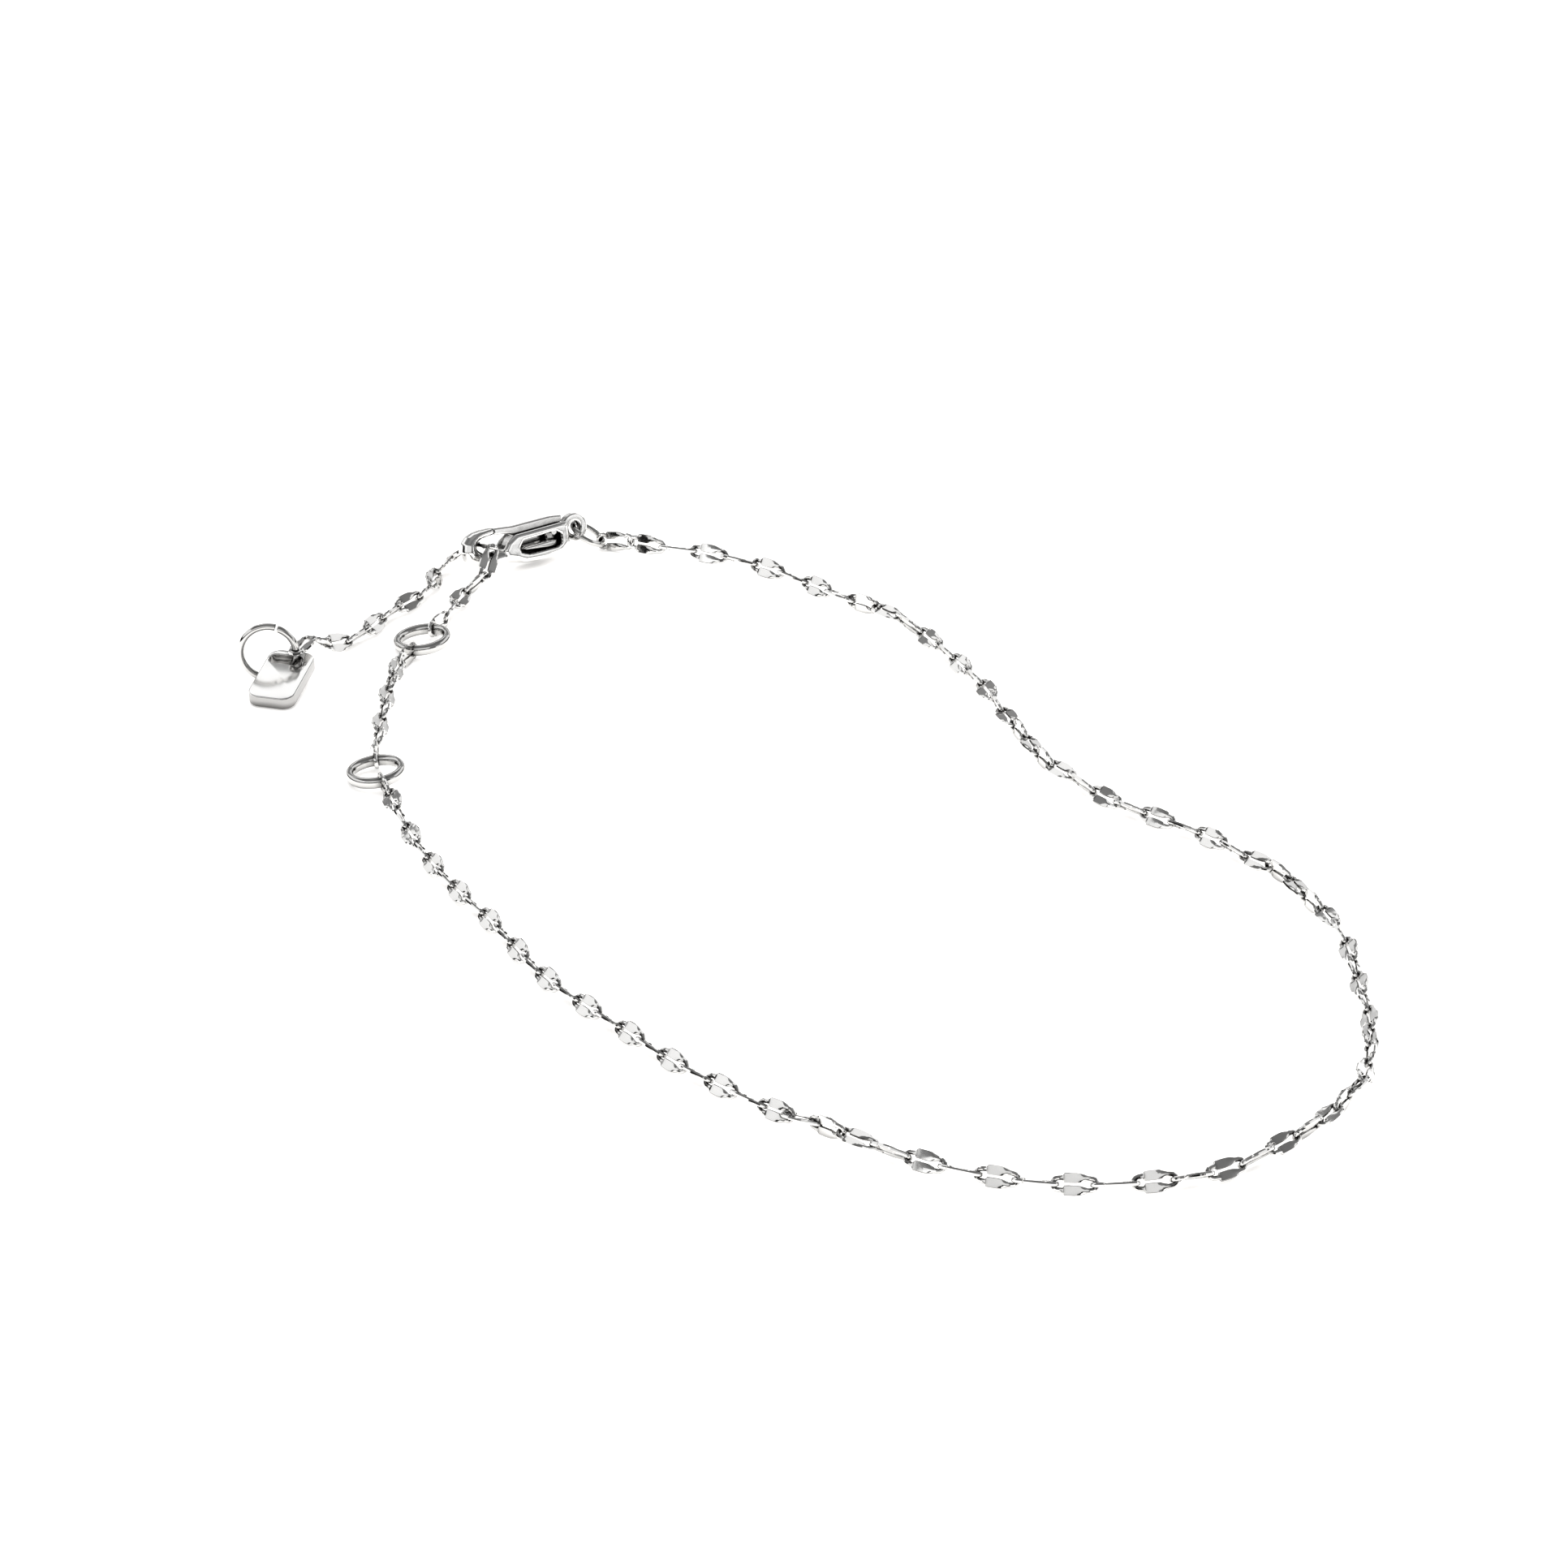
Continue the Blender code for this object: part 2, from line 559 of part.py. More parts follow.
def build():
    clear_scene()
    parts = new_collection("anklet")
    cutters = new_collection("anklet_cutters")
    chain_silver = silver("silver_chain", 0.10)
    ring_silver = silver("silver_ring", 0.12)
    clasp_silver = silver("silver_clasp", 0.16)
    tag_silver = silver("silver_tag", 0.10)

    size_radius = ring_radius(SIZE_RING_OUTER, SIZE_RING_WIRE)
    lean = (-math.sin(SIZE_RING_TILT), 0.0, math.cos(SIZE_RING_TILT))
    ring_1 = ring_placement(SIZE_RING_1_PLACE, lean)
    ring_2 = ring_placement(SIZE_RING_2_PLACE, lean)
    jump = ring_placement(JUMP_RING_PLACE, JUMP_RING_NORMAL)
    end = ring_placement(END_RING_PLACE, (0.0, -1.0, 0.0))
    soldered_ring("size_ring_1", ring_1, SIZE_RING_OUTER, SIZE_RING_WIRE, parts, ring_silver)
    soldered_ring("size_ring_2", ring_2, SIZE_RING_OUTER, SIZE_RING_WIRE, parts, ring_silver)
    cut_ring("jump_ring", jump, JUMP_RING_OUTER, JUMP_RING_WIRE, 95.0, parts, ring_silver)
    cut_ring("end_ring", end, END_RING_OUTER, END_RING_WIRE, 72.0, parts, ring_silver)

    jump_radius = ring_radius(JUMP_RING_OUTER, JUMP_RING_WIRE)
    end_radius = ring_radius(END_RING_OUTER, END_RING_WIRE)
    main_rows = on_surface(MAIN_ROUTE)
    main_rows.insert(0, row_on_ring(jump, jump_radius, main_rows[0]))
    main_rows.append(row_on_ring(ring_1, size_radius, main_rows[-1]))
    size_rows = on_surface(SIZE_ROUTE)
    size_rows.insert(0, row_on_ring(ring_1, size_radius, size_rows[0]))
    size_rows.append(row_on_ring(ring_2, size_radius, size_rows[-1]))
    tail_start = above_surface(TAIL_TO_CLASP)
    tail_start.insert(0, row_on_ring(ring_2, size_radius, tail_start[0]))
    tail_finish = above_surface(TAIL_FROM_CLASP)
    tail_finish.append(row_on_ring(end, end_radius, tail_finish[-1]))

    on_size_ring = ring_reach(SIZE_RING_WIRE)
    main_frames = link_frames(chain_joints(main_rows), ((0, ring_axis(jump)), (-1, ring_axis(ring_1))))
    split = round(len(main_frames) * MAIN_CHAIN_SPLIT)
    build_chain("main_chain_back", main_frames[:split], ring_reach(JUMP_RING_WIRE), LINKS_MEET, (True, False),
                parts, cutters, chain_silver)
    build_chain("main_chain_front", main_frames[split:], LINKS_MEET, on_size_ring, (False, True),
                parts, cutters, chain_silver)
    size_frames = link_frames(chain_joints(size_rows), ((0, ring_axis(ring_1)), (-1, ring_axis(ring_2))))
    build_chain("size_chain", size_frames, on_size_ring, on_size_ring, (True, True), parts, cutters, chain_silver)

    clasp = clasp_placement()
    start_joints = chain_joints(tail_start)
    across_opening = Matrix.Rotation(CLASPED_LINK_ROLL, 3, ring_axis(clasp)) @ clasp.to_3x3().col[0]
    clasped = len(start_joints) - 1
    beside = clasp.to_3x3().col[0]
    tail_widths = ((0, ring_axis(ring_2)), (clasped - 1, beside), (clasped, across_opening),
                   (clasped + 1, beside), (-1, ring_axis(end)))
    tail_frames = link_frames(start_joints + chain_joints(tail_finish), tail_widths)
    build_chain("tail_chain", tail_frames, on_size_ring, ring_reach(END_RING_WIRE), (True, True),
                parts, cutters, chain_silver)

    build_clasp_body(clasp, parts, cutters, clasp_silver)
    build_clasp_lever(clasp, parts, cutters, clasp_silver)
    build_clasp_pin(clasp, parts, clasp_silver)
    build_tag(tag_placement(), parts, cutters, tag_silver)
    to_origin = Matrix.Translation(Vector(TO_ORIGIN) * MM)
    for item in list(parts.objects) + list(cutters.objects):
        item.matrix_world = to_origin @ item.matrix_world


build()
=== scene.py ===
# %% [markdown]
# # A silver anklet of mirror links
#
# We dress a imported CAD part: a fine chain of mirror links that lies on a white surface, held by a
# lobster clasp, with two size rings and a small thick tag. The CAD part is the fixed frame. It gives
# each piece its place, and we give it the shapes and the polish that an eye looks for in silver.

# %% Load the frame
import math

import bmesh
import bpy
from mathutils import Matrix, Vector


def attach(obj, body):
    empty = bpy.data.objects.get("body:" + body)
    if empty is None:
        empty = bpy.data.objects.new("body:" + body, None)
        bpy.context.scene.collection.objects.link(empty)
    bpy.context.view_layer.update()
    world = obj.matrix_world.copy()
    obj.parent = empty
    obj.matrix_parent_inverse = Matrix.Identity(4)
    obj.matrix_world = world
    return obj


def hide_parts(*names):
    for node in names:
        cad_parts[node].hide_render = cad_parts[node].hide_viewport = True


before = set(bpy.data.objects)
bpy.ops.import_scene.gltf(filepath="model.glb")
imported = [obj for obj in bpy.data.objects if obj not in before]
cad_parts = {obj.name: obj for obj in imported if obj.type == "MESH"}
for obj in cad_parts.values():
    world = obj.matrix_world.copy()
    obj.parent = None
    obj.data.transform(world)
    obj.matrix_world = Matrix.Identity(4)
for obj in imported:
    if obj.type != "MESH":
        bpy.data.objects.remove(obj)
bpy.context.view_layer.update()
MM = 0.001
UP = Vector((0.0, 0.0, 1.0))
# from the places measured below, in millimetres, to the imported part's own middle
TO_ORIGIN = Vector((0.02, 0.13, 0.01))
TO_WORLD = Matrix.Scale(MM, 4) @ Matrix.Translation(TO_ORIGIN)

# %% [markdown]
# ## The camera
#
# A close photograph of something 12 cm long is taken from about half a metre with a long lens, so the
# far side of the loop is hardly smaller than the near side. We set the lens first, because every
# comparison with the photograph depends on it. The camera looks down by 26 degrees.

# %% Camera
LOOK_DOWN = math.radians(26.0)
LENS = 158.385
SENSOR_WIDTH = 36.0
CAMERA_AT = Vector((0.20, -486.557, 242.187))
camera_data = bpy.data.cameras.new("camera")
camera_data.lens = LENS
camera_data.sensor_width = SENSOR_WIDTH
camera_data.clip_start = 0.01
camera = bpy.data.objects.new("camera", camera_data)
camera.location = (CAMERA_AT + TO_ORIGIN) * MM
camera.rotation_euler = (math.pi / 2 - LOOK_DOWN, 0.0, 0.0)
bpy.context.scene.collection.objects.link(camera)
bpy.context.scene.camera = camera
print("camera", [round(value, 4) for value in camera.location])

# %% [markdown]
# ## Writing shader maths as sums
#
# A material's pattern is a chain of small sums, and boxes with wires between them are hard to read.
# So one small class holds a socket, and its operators add the Math nodes for us. Then `0.1 + 0.2 *
# grain` is a roughness. A second class adds any other node by its type, for a material or for the sky,
# and a third starts a material.

# %% Shader expressions


class Value:
    """A number that changes over the surface: one output socket of a node."""

    def __init__(self, tree, socket):
        self.tree = tree
        self.socket = socket

    def maths(self, operation, first, second):
        node = self.tree.nodes.new("ShaderNodeMath")
        node.operation = operation
        for place, item in zip(node.inputs, (first, second)):
            if isinstance(item, Value):
                self.tree.links.new(item.socket, place)
            else:
                place.default_value = item
        return Value(self.tree, node.outputs[0])

    def __add__(self, other):
        return self.maths("ADD", self, other)

    def __sub__(self, other):
        return self.maths("SUBTRACT", self, other)

    def __rsub__(self, other):
        return self.maths("SUBTRACT", other, self)

    def __mul__(self, other):
        return self.maths("MULTIPLY", self, other)

    __radd__ = __add__
    __rmul__ = __mul__


class Nodes:
    """A node tree, and one way to add any node to it."""

    def __init__(self, tree):
        self.tree = tree

    def connect(self, place, value):
        if isinstance(value, Value):
            value = value.socket
        if isinstance(value, bpy.types.NodeSocket):
            self.tree.links.new(value, place)
        else:
            place.default_value = value

    def node(self, kind, settings=None, **sockets):
        node = self.tree.nodes.new(kind)
        for setting, value in (settings or {}).items():
            if setting == "stops":
                grey_stops(node.color_ramp.elements, value)
            else:
                setattr(node, setting, value)
        for socket, value in sockets.items():
            self.connect(node.inputs[socket.replace("_", " ")], value)
        return node

    def mix(self, factor, first, second):
        """A colour between two. The sockets go by number, because a Mix node repeats their names."""
        node = self.node("ShaderNodeMix", {"data_type": "RGBA"})
        for index, value in ((0, factor), (6, first), (7, second)):
            self.connect(node.inputs[index], value)
        return node.outputs[2]


def grey_stops(stops, rows):
    """Grey stops for a ramp, which starts with one at each end."""
    for stop, (place, grey) in zip((stops[0], stops[1]), (rows[0], rows[-1])):
        stop.position = place
        stop.color = (grey, grey, grey, 1.0)
    for place, grey in rows[1:-1]:
        stops.new(place).color = (grey, grey, grey, 1.0)


class Finish(Nodes):
    """A material with one Principled shader."""

    def __init__(self, name, **plain):
        self.material = bpy.data.materials.new(name)
        self.material.use_nodes = True
        super().__init__(self.material.node_tree)
        self.shader = self.tree.nodes["Principled BSDF"]
        for socket, value in plain.items():
            self.feed(socket.replace("_", " "), value)

    def noise(self, scale, detail=2.0):
        where = self.node("ShaderNodeTexCoord").outputs["Object"]
        grain = self.node("ShaderNodeTexNoise", Vector=where, Scale=scale, Detail=detail)
        return Value(self.tree, grain.outputs[0])

    def feed(self, socket, value):
        self.connect(self.shader.inputs[socket], value)


# %% [markdown]
# ## Silver
#
# Silver is nearly a perfect mirror, a little warm. What makes it look like metal and not like chrome
# paint is the small things: tumbling leaves it faintly wavy, handling leaves a haze that comes and
# goes, and fine rubbing marks blur the reflections a little. Each finish below mixes these three at
# its own strength. Shade in recesses and under each piece near the floor is painted into the colour:
# an Ambient Occlusion node finds it. The tag's sides get painted shade too, a darker colour.

# %% Silver finishes
HAZE_SCALE = 420.0
RUBBING_SCALE = 5200.0
HAZY_TINT = 0.93
# painted shade: the colour of recesses and undersides near the floor, and how far the AO node looks
PAINTED_SHADE_COLOUR = (0.05, 0.048, 0.045, 1.0)
PAINTED_SHADE_REACH = 0.0007
RIPPLE_HEIGHT = 0.00005


def silver(name, colour, haze, haze_change, waves, wave_scale, painted_shade_on_sides=None):
    finish = Finish(name, Metallic=1.0)
    cloud = finish.noise(HAZE_SCALE, 3.0)
    rubbed = finish.noise(RUBBING_SCALE, 4.0)
    finish.feed("Roughness", haze + haze_change * (0.6 * cloud + 0.4 * rubbed))
    hazy = (*(channel * HAZY_TINT for channel in colour), 1.0)
    polish = finish.mix(cloud, (*colour, 1.0), hazy)
    # painted shade: the sides take a darker colour than the upper face
    if painted_shade_on_sides:
        facing = finish.node("ShaderNodeTexCoord").outputs["Normal"]
        height = finish.node("ShaderNodeSeparateXYZ", Vector=facing).outputs["Z"]
        # 0 on the sides, 1 on the upper face
        on_the_flat = 4.0 * Value(finish.tree, height) - 1.5
        polish = finish.mix(on_the_flat, (*painted_shade_on_sides, 1.0), polish)
    # painted shade: the colour goes dark where the AO node finds little open sky
    open_sky = finish.node("ShaderNodeAmbientOcclusion", {"samples": 8}, Distance=PAINTED_SHADE_REACH)
    unshaded = Value(finish.tree, open_sky.outputs["AO"])
    finish.feed("Base Color", finish.mix(unshaded * unshaded, PAINTED_SHADE_COLOUR, polish))
    ripple = finish.noise(wave_scale, 2.0)
    bump = finish.node("ShaderNodeBump", Height=ripple, Strength=waves, Distance=RIPPLE_HEIGHT)
    finish.feed("Normal", bump.outputs["Normal"])
    return finish.material


silver_link = silver("silver_mirror_link", (0.78, 0.775, 0.765), 0.03, 0.06, 0.08, 900.0)
silver_wire = silver("silver_ring_wire", (0.62, 0.615, 0.605), 0.05, 0.08, 0.12, 700.0)
silver_cast = silver("silver_cast_clasp", (0.86, 0.855, 0.845), 0.05, 0.08, 0.16, 600.0)
# painted shade: the tag's sides get the darker colour given last
silver_plate = silver("silver_flat_tag", (0.92, 0.915, 0.905), 0.10, 0.10, 0.10, 500.0,
                      painted_shade_on_sides=(0.40, 0.395, 0.39))
print("finishes:", [finish.name for finish in (silver_link, silver_wire, silver_cast, silver_plate)])

# %% [markdown]
# ## Keeping a finished piece
#
# Every piece ends in the same way: its faces point outwards, it is shaded smooth with crisp creases,
# and it goes into the scene at its real size with its object at the origin. We model in millimetres,
# because a link is only 3.5 of them long, and turn them into metres here.

# %% Keep a piece


def keep(name, bm, finish, crease=35.0, to_world=None):
    bmesh.ops.recalc_face_normals(bm, faces=bm.faces)
    bmesh.ops.transform(bm, matrix=(to_world or Matrix()), verts=bm.verts)
    mesh = bpy.data.meshes.new(name)
    bm.to_mesh(mesh)
    bm.free()
    mesh.shade_smooth()
    mesh.set_sharp_from_angle(angle=math.radians(crease))
    piece = bpy.data.objects.new(name, mesh)
    bpy.context.scene.collection.objects.link(piece)
    mesh.materials.append(finish)
    print(name, len(mesh.polygons), "faces")
    return piece


def new_of(kind, result):
    """The new parts of one kind, out of what an operator returns."""
    return [item for item in result["geom"] if isinstance(item, kind)]


def sweep(bm, frames, sides):
    """Extrude a circle of diameter 1 from frame to frame: each frame holds its place, turn and size."""
    ring = bmesh.ops.create_circle(bm, cap_ends=False, segments=sides, radius=0.5, matrix=frames[0])
    edges = list({edge for vert in ring["verts"] for edge in vert.link_edges})
    rings = [edges]
    for before, after in zip(frames, frames[1:]):
        grown = bmesh.ops.extrude_edge_only(bm, edges=edges)
        edges = new_of(bmesh.types.BMEdge, grown)
        verts = new_of(bmesh.types.BMVert, grown)
        edges = [edge for edge in edges if all(vert in verts for vert in edge.verts)]
        bmesh.ops.transform(bm, matrix=after @ before.inverted(), verts=verts)
        rings.append(edges)
    return rings


def station(x, y, run, width, thickness, z=0.0):
    """A section's frame: it faces along run in the XY plane, width in that plane, thickness along Z."""
    out = Vector((run[1], -run[0], 0.0)).normalized()
    axes = Matrix((out * width, UP * thickness, out.cross(UP))).transposed().to_4x4()
    return Matrix.Translation((x, y, z)) @ axes


# %% [markdown]
# ## One mirror link
#
# A mirror link starts as an oval of round wire. Then its two long sides are pressed flat and cut with
# a diamond tool, and each becomes a leaf-shaped mirror that starts at a hard step and runs out to a
# point. That leaf is what flashes when the chain moves. We sweep one quarter-turn, the long side with
# its leaf, and the other quarter-turn, cut the leaf flat, then mirror the half link across its long
# axis. A second link, with rounder ends and narrower leaves, is for the places where a ring passes.

# %% Link
# in millimetres; half the link's length and its end radii follow the middle of the wire
WIRE = 0.37
HALF_LINK = 1.57
END_RADIUS = 0.42
OPEN_RADIUS = 0.55
LEAF_ROWS = (
    # x, distance from the middle line, width, thickness, half-height that the cutter leaves
    (-0.86, 0.450, 0.38, 0.37, 0.190),
    (-0.79, 0.450, 0.56, 0.46, 0.190),
    (-0.74, 0.452, 0.72, 0.60, 0.115),
    (-0.40, 0.452, 0.75, 0.60, 0.130),
    (0.05, 0.452, 0.75, 0.60, 0.142),
    (0.40, 0.452, 0.69, 0.54, 0.155),
    (0.70, 0.450, 0.53, 0.45, 0.172),
    (0.92, 0.440, 0.38, 0.37, 0.190),
)
OPEN_ROWS = tuple((x, y + 0.04, WIRE + (wide - WIRE) * 0.85, thick, cut)
                  for x, y, wide, thick, cut in LEAF_ROWS)
SECTION_SIDES = 12
ARC_STEPS = 5
TOUCHING = 1e-4
LEVEL = 1e-6


def quarter_turn(centre, radius, start):
    """Stations of round wire on a clockwise quarter circle about (centre, 0)."""
    stations = []
    for step in range(ARC_STEPS + 1):
        turn = start - math.pi / 2 * step / ARC_STEPS
        place = (centre + radius * math.cos(turn), radius * math.sin(turn))
        stations.append(station(*place, (math.sin(turn), -math.cos(turn)), WIRE, WIRE))
    return stations


def link_mesh(name, rows, radius):
    arc_at = HALF_LINK - radius
    side = [station(x, y, (1.0, 0.0), width, thickness) for x, y, width, thickness, _ in rows]
    bm = bmesh.new()
    sweep(bm, quarter_turn(-arc_at, radius, math.pi) + side + quarter_turn(arc_at, radius, math.pi / 2),
          SECTION_SIDES)
    for x, _, _, _, cut in rows:
        for vert in bm.verts:
            if abs(vert.co.x - x) < TOUCHING:
                vert.co.z = max(-cut, min(cut, vert.co.z))
    bmesh.ops.mirror(bm, geom=bm.verts[:] + bm.edges[:] + bm.faces[:], axis="Y", merge_dist=TOUCHING)
    bmesh.ops.remove_doubles(bm, verts=bm.verts, dist=TOUCHING)
    bmesh.ops.recalc_face_normals(bm, faces=bm.faces)
    mesh = bpy.data.meshes.new(name)
    bm.to_mesh(mesh)
    bm.free()
    print(name, len(mesh.polygons), "faces,", round(2 * HALF_LINK + WIRE, 2), "mm long")
    return mesh


mirror_link = link_mesh("mirror_link", LEAF_ROWS, END_RADIUS)
open_link = link_mesh("open_link", OPEN_ROWS, OPEN_RADIUS)

# %% [markdown]
# ## Where the links lie
#
# The chain was laid down by hand, so no formula gives its line. We keep a short list of places along
# it, with how far the links lean there, and run a smooth curve through them. Links are then set along
# the curve, each turned a quarter from the one before, as links hang in one another. On the short runs
# the steps are equal. On the main chain each place also has its link's number, because a loose chain
# slides together in some places, and the mirror leaves have to lie where they lie in the photograph.

# %% Routes
# a link's number from the clasp, its x and y, and how far the odd links lean there, in degrees
MAIN_ROUTE = (
    (1, -14.3, 56.2, 5), (2, -11.6, 54.7, -19), (4, -6.2, 53.0, -31), (6, -1.1, 49.9, -31),
    (8, 3.0, 46.1, -30), (10, 6.9, 42.4, -8), (11, 8.9, 41.1, 15), (13, 12.4, 35.6, 36),
    (15, 14.8, 30.6, 36), (17, 16.9, 25.6, 34), (19, 18.3, 20.3, 10), (20, 19.3, 18.0, -6),
    (22, 21.0, 12.4, -6), (23, 22.4, 10.6, 25), (25, 25.7, 5.6, 40), (27, 29.7, 2.0, 50),
    (29, 33.8, -1.6, 50), (31, 37.0, -5.9, 34), (32, 38.8, -7.4, 2), (34, 40.8, -12.9, -12),
    (35, 42.0, -15.1, 18), (37, 43.2, -20.7, 40), (39, 43.5, -26.3, 40), (41, 43.9, -31.8, 40),
    (44, 43.0, -40.2, 58), (45, 42.0, -42.5, 20), (47, 39.8, -46.9, -8), (49, 36.2, -51.0, -30),
    (51, 31.9, -54.8, -45), (53, 26.7, -56.7, -60), (55, 20.9, -57.2, -64), (57, 15.4, -56.1, -64),
    (59, 10.3, -53.8, -55), (61, 5.5, -50.6, -20), (62, 3.3, -48.5, 2), (64, -0.3, -46.3, 30),
    (66, -4.4, -42.4, 37), (68, -8.0, -38.5, 39), (70, -11.2, -34.2, 40), (72, -14.5, -29.9, 41),
    (74, -17.6, -25.5, 42), (76, -20.0, -20.7, 44), (78, -22.3, -15.7, 46), (80, -24.9, -10.9, 47),
    (82, -27.1, -6.2, 49), (84, -29.1, -1.1, 52), (86, -30.9, 5.2, 56),
)
SIZE_ROUTE = ((-32.7, 16.0, 40), (-32.5, 21.3, 42), (-32.2, 27.0, 44), (-31.7, 30.7, 60))
TAIL_TO_CLASP = (
    (-28.1, 40.3, 0.88, 30), (-27.4, 43.4, 0.88, 30), (-26.2, 46.3, 0.90, 20), (-25.3, 47.5, 1.20, 10),
    (-24.54, 49.49, 3.10, 0),
)
TAIL_FROM_CLASP = (
    (-26.08, 51.69, 2.38, 0), (-28.5, 51.6, 0.95, 30), (-29.4, 49.3, 0.88, 40), (-29.7, 46.8, 0.88, 40),
    (-30.9, 43.8, 0.88, 40), (-32.4, 42.0, 0.88, 40), (-33.5, 40.0, 0.88, 40), (-34.5, 37.9, 0.88, 40),
    (-35.6, 36.2, 0.88, 40), (-36.8, 34.6, 0.85, 30), (-38.0, 33.4, 1.60, 10), (-38.9, 31.9, 2.80, 0),
)
print("routes:", len(MAIN_ROUTE), len(SIZE_ROUTE), len(TAIL_TO_CLASP), len(TAIL_FROM_CLASP), "places")

# %% Following a route
LINK_PITCH = 2.75
LINK_WIDTH = 1.64
LINK_WIRE = 0.40
FLOOR_GAP = 0.18
CURVE_STEPS = 24
CHORD_HALVINGS = 30
PITCH_HALVINGS = 50


def rest_height(lean):
    """How high the chain's line runs where its links lean by so much."""
    turn = math.radians(lean)
    steep = max(abs(math.sin(turn)), abs(math.cos(turn)))
    shallow = min(abs(math.sin(turn)), abs(math.cos(turn)))
    return LINK_WIDTH / 2 * steep + LINK_WIRE / 2 * shallow + FLOOR_GAP


def smooth_route(rows):
    """Dense points with their leans, on a Catmull-Rom curve through the rows."""
    rows = [tuple(2 * a - b for a, b in zip(rows[0], rows[1]))] + list(rows)
    rows.append(tuple(2 * a - b for a, b in zip(rows[-1], rows[-2])))
    dense = []
    for first, start, end, last in zip(rows, rows[1:], rows[2:], rows[3:]):
        for step in range(CURVE_STEPS):
            t = step / CURVE_STEPS
            dense.append([(2 * b + (c - a) * t + (2 * a - 5 * b + 4 * c - d) * t ** 2
                           + (3 * b - a - 3 * c + d) * t ** 3) / 2
                          for a, b, c, d in zip(first, start, end, last)])
    dense.append(rows[-2])
    return [(Vector(point[:3]), *point[3:]) for point in dense]


def walk(dense, pitch, count):
    """Joints one pitch apart, and how far the last would be past the end."""
    joints = [dense[0]]
    place = 0
    while len(joints) <= count:
        here = joints[-1][0]
        while place + 1 < len(dense) and (dense[place + 1][0] - here).length < pitch:
            place += 1
        if place + 1 == len(dense):
            return joints, pitch - (dense[-1][0] - here).length + (count - len(joints)) * pitch
        low, high = 0.0, 1.0
        near, far = dense[place], dense[place + 1]
        for _ in range(CHORD_HALVINGS):
            middle = (low + high) / 2
            if (near[0].lerp(far[0], middle) - here).length < pitch:
                low = middle
            else:
                high = middle
        joints.append((near[0].lerp(far[0], low), near[1] + (far[1] - near[1]) * low))
    return joints, -sum((b[0] - a[0]).length for a, b in zip(dense[place:], dense[place + 1:]))


def joints_along(rows):
    """Joints at equal steps along a route, both its ends among them."""
    dense = smooth_route(rows)
    length = sum((b[0] - a[0]).length for a, b in zip(dense, dense[1:]))
    count = max(2, round(length / LINK_PITCH))
    low, high = 0.8 * length / count, 1.05 * length / count
    for _ in range(PITCH_HALVINGS):
        pitch = (low + high) / 2
        if walk(dense, pitch, count)[1] > 0:
            high = pitch
        else:
            low = pitch
    joints = walk(dense, low, count)[0][:count]
    joints.append(dense[-1])
    print("route of", count, "links, one every", round(low, 3), "mm")
    return joints


def numbered_joints(rows):
    """Joints where the link number, which runs along the curve with the place, passes a half."""
    joints = []
    dense = smooth_route(rows)
    for (near, low_lean, low), (far, high_lean, high) in zip(dense, dense[1:]):
        while low <= len(joints) + 0.5 <= high + 1e-6 and high > low:
            part = (len(joints) + 0.5 - low) / (high - low)
            joints.append((near.lerp(far, part), low_lean + (high_lean - low_lean) * part))
    steps = [(b[0] - a[0]).length for a, b in zip(joints, joints[1:])]
    print("numbered route of", len(steps), "links,", round(sum(steps), 1), "mm along its joints")
    return joints


def link_frames(joints, set_widths):
    """Each link's frame, X along it and Y its width, and half its step."""
    frames = []
    side = None
    for index, (start, end) in enumerate(zip(joints, joints[1:])):
        along = (end[0] - start[0]).normalized()
        side = UP.cross(along) if side is None else side - along * side.dot(along)
        side.normalize()
        turn = math.radians((start[1] + end[1]) / 2 + 90.0 * (index % 2))
        wide = side * math.cos(turn) + along.cross(side) * math.sin(turn)
        for chosen, direction in set_widths:
            if chosen % (len(joints) - 1) == index:
                wide = (direction - along * direction.dot(along)).normalized()
        axes = Matrix((along, wide, along.cross(wide))).transposed().to_4x4()
        frames.append((Matrix.Translation((start[0] + end[0]) / 2) @ axes, (end[0] - start[0]).length / 2))
    return frames


# %% [markdown]
# ## Rings
#
# The two size rings are soldered shut, so they are plain full turns, of a section that is a little
# taller than it is thick. The jump ring at the clasp and the ring in the tag are round wire, only bent
# shut: their ends pass each other a little, and the cut shows. A spin makes both kinds. The second
# stops short of a full turn and climbs as it goes.

# %% Ring places
# outer diameter and wire, in millimetres
SIZE_RING = (4.90, 0.70)
JUMP_RING = (3.50, 0.50)
END_RING = (5.20, 0.60)
BAND_HEIGHT = 0.95
LEAN = math.radians(7.0)
WIRE_SIDES = 18
RING_STEPS = 72
CUT_RING_STEPS = 60
CUT_GAP = 0.14
CUT_CLIMB = 0.16
CUT_BEVEL = 0.04


def placed(place, normal):
    turn = Vector(normal).to_track_quat("Z", "Y").to_matrix().to_4x4()
    return Matrix.Translation(place) @ turn


ring_lean = (-math.sin(LEAN), 0.0, math.cos(LEAN))
ring_1_at = placed((-32.50, 10.42, 0.90), ring_lean)
ring_2_at = placed((-29.95, 35.62, 0.90), ring_lean)
jump_at = placed((-16.68, 55.93, 1.53), (0.49, 0.06, 0.87))
end_at = placed((-42.30, 29.34, 2.64), (0.0, -1.0, 0.0))
print("size rings", round((ring_2_at.translation - ring_1_at.translation).length, 1), "mm apart")

# %% Rings


def wire_circle(bm, size, tall=1.0):
    """The wire's section, standing where a turn of the ring starts."""
    outer, wire = size
    upright = Matrix.Translation(((outer - wire) / 2, 0.0, 0.0)) @ Matrix.Rotation(math.pi / 2, 4, "X")
    bmesh.ops.create_circle(bm, segments=WIRE_SIDES, radius=wire / 2,
                            matrix=Matrix.Diagonal((1.0, 1.0, tall, 1.0)) @ upright)


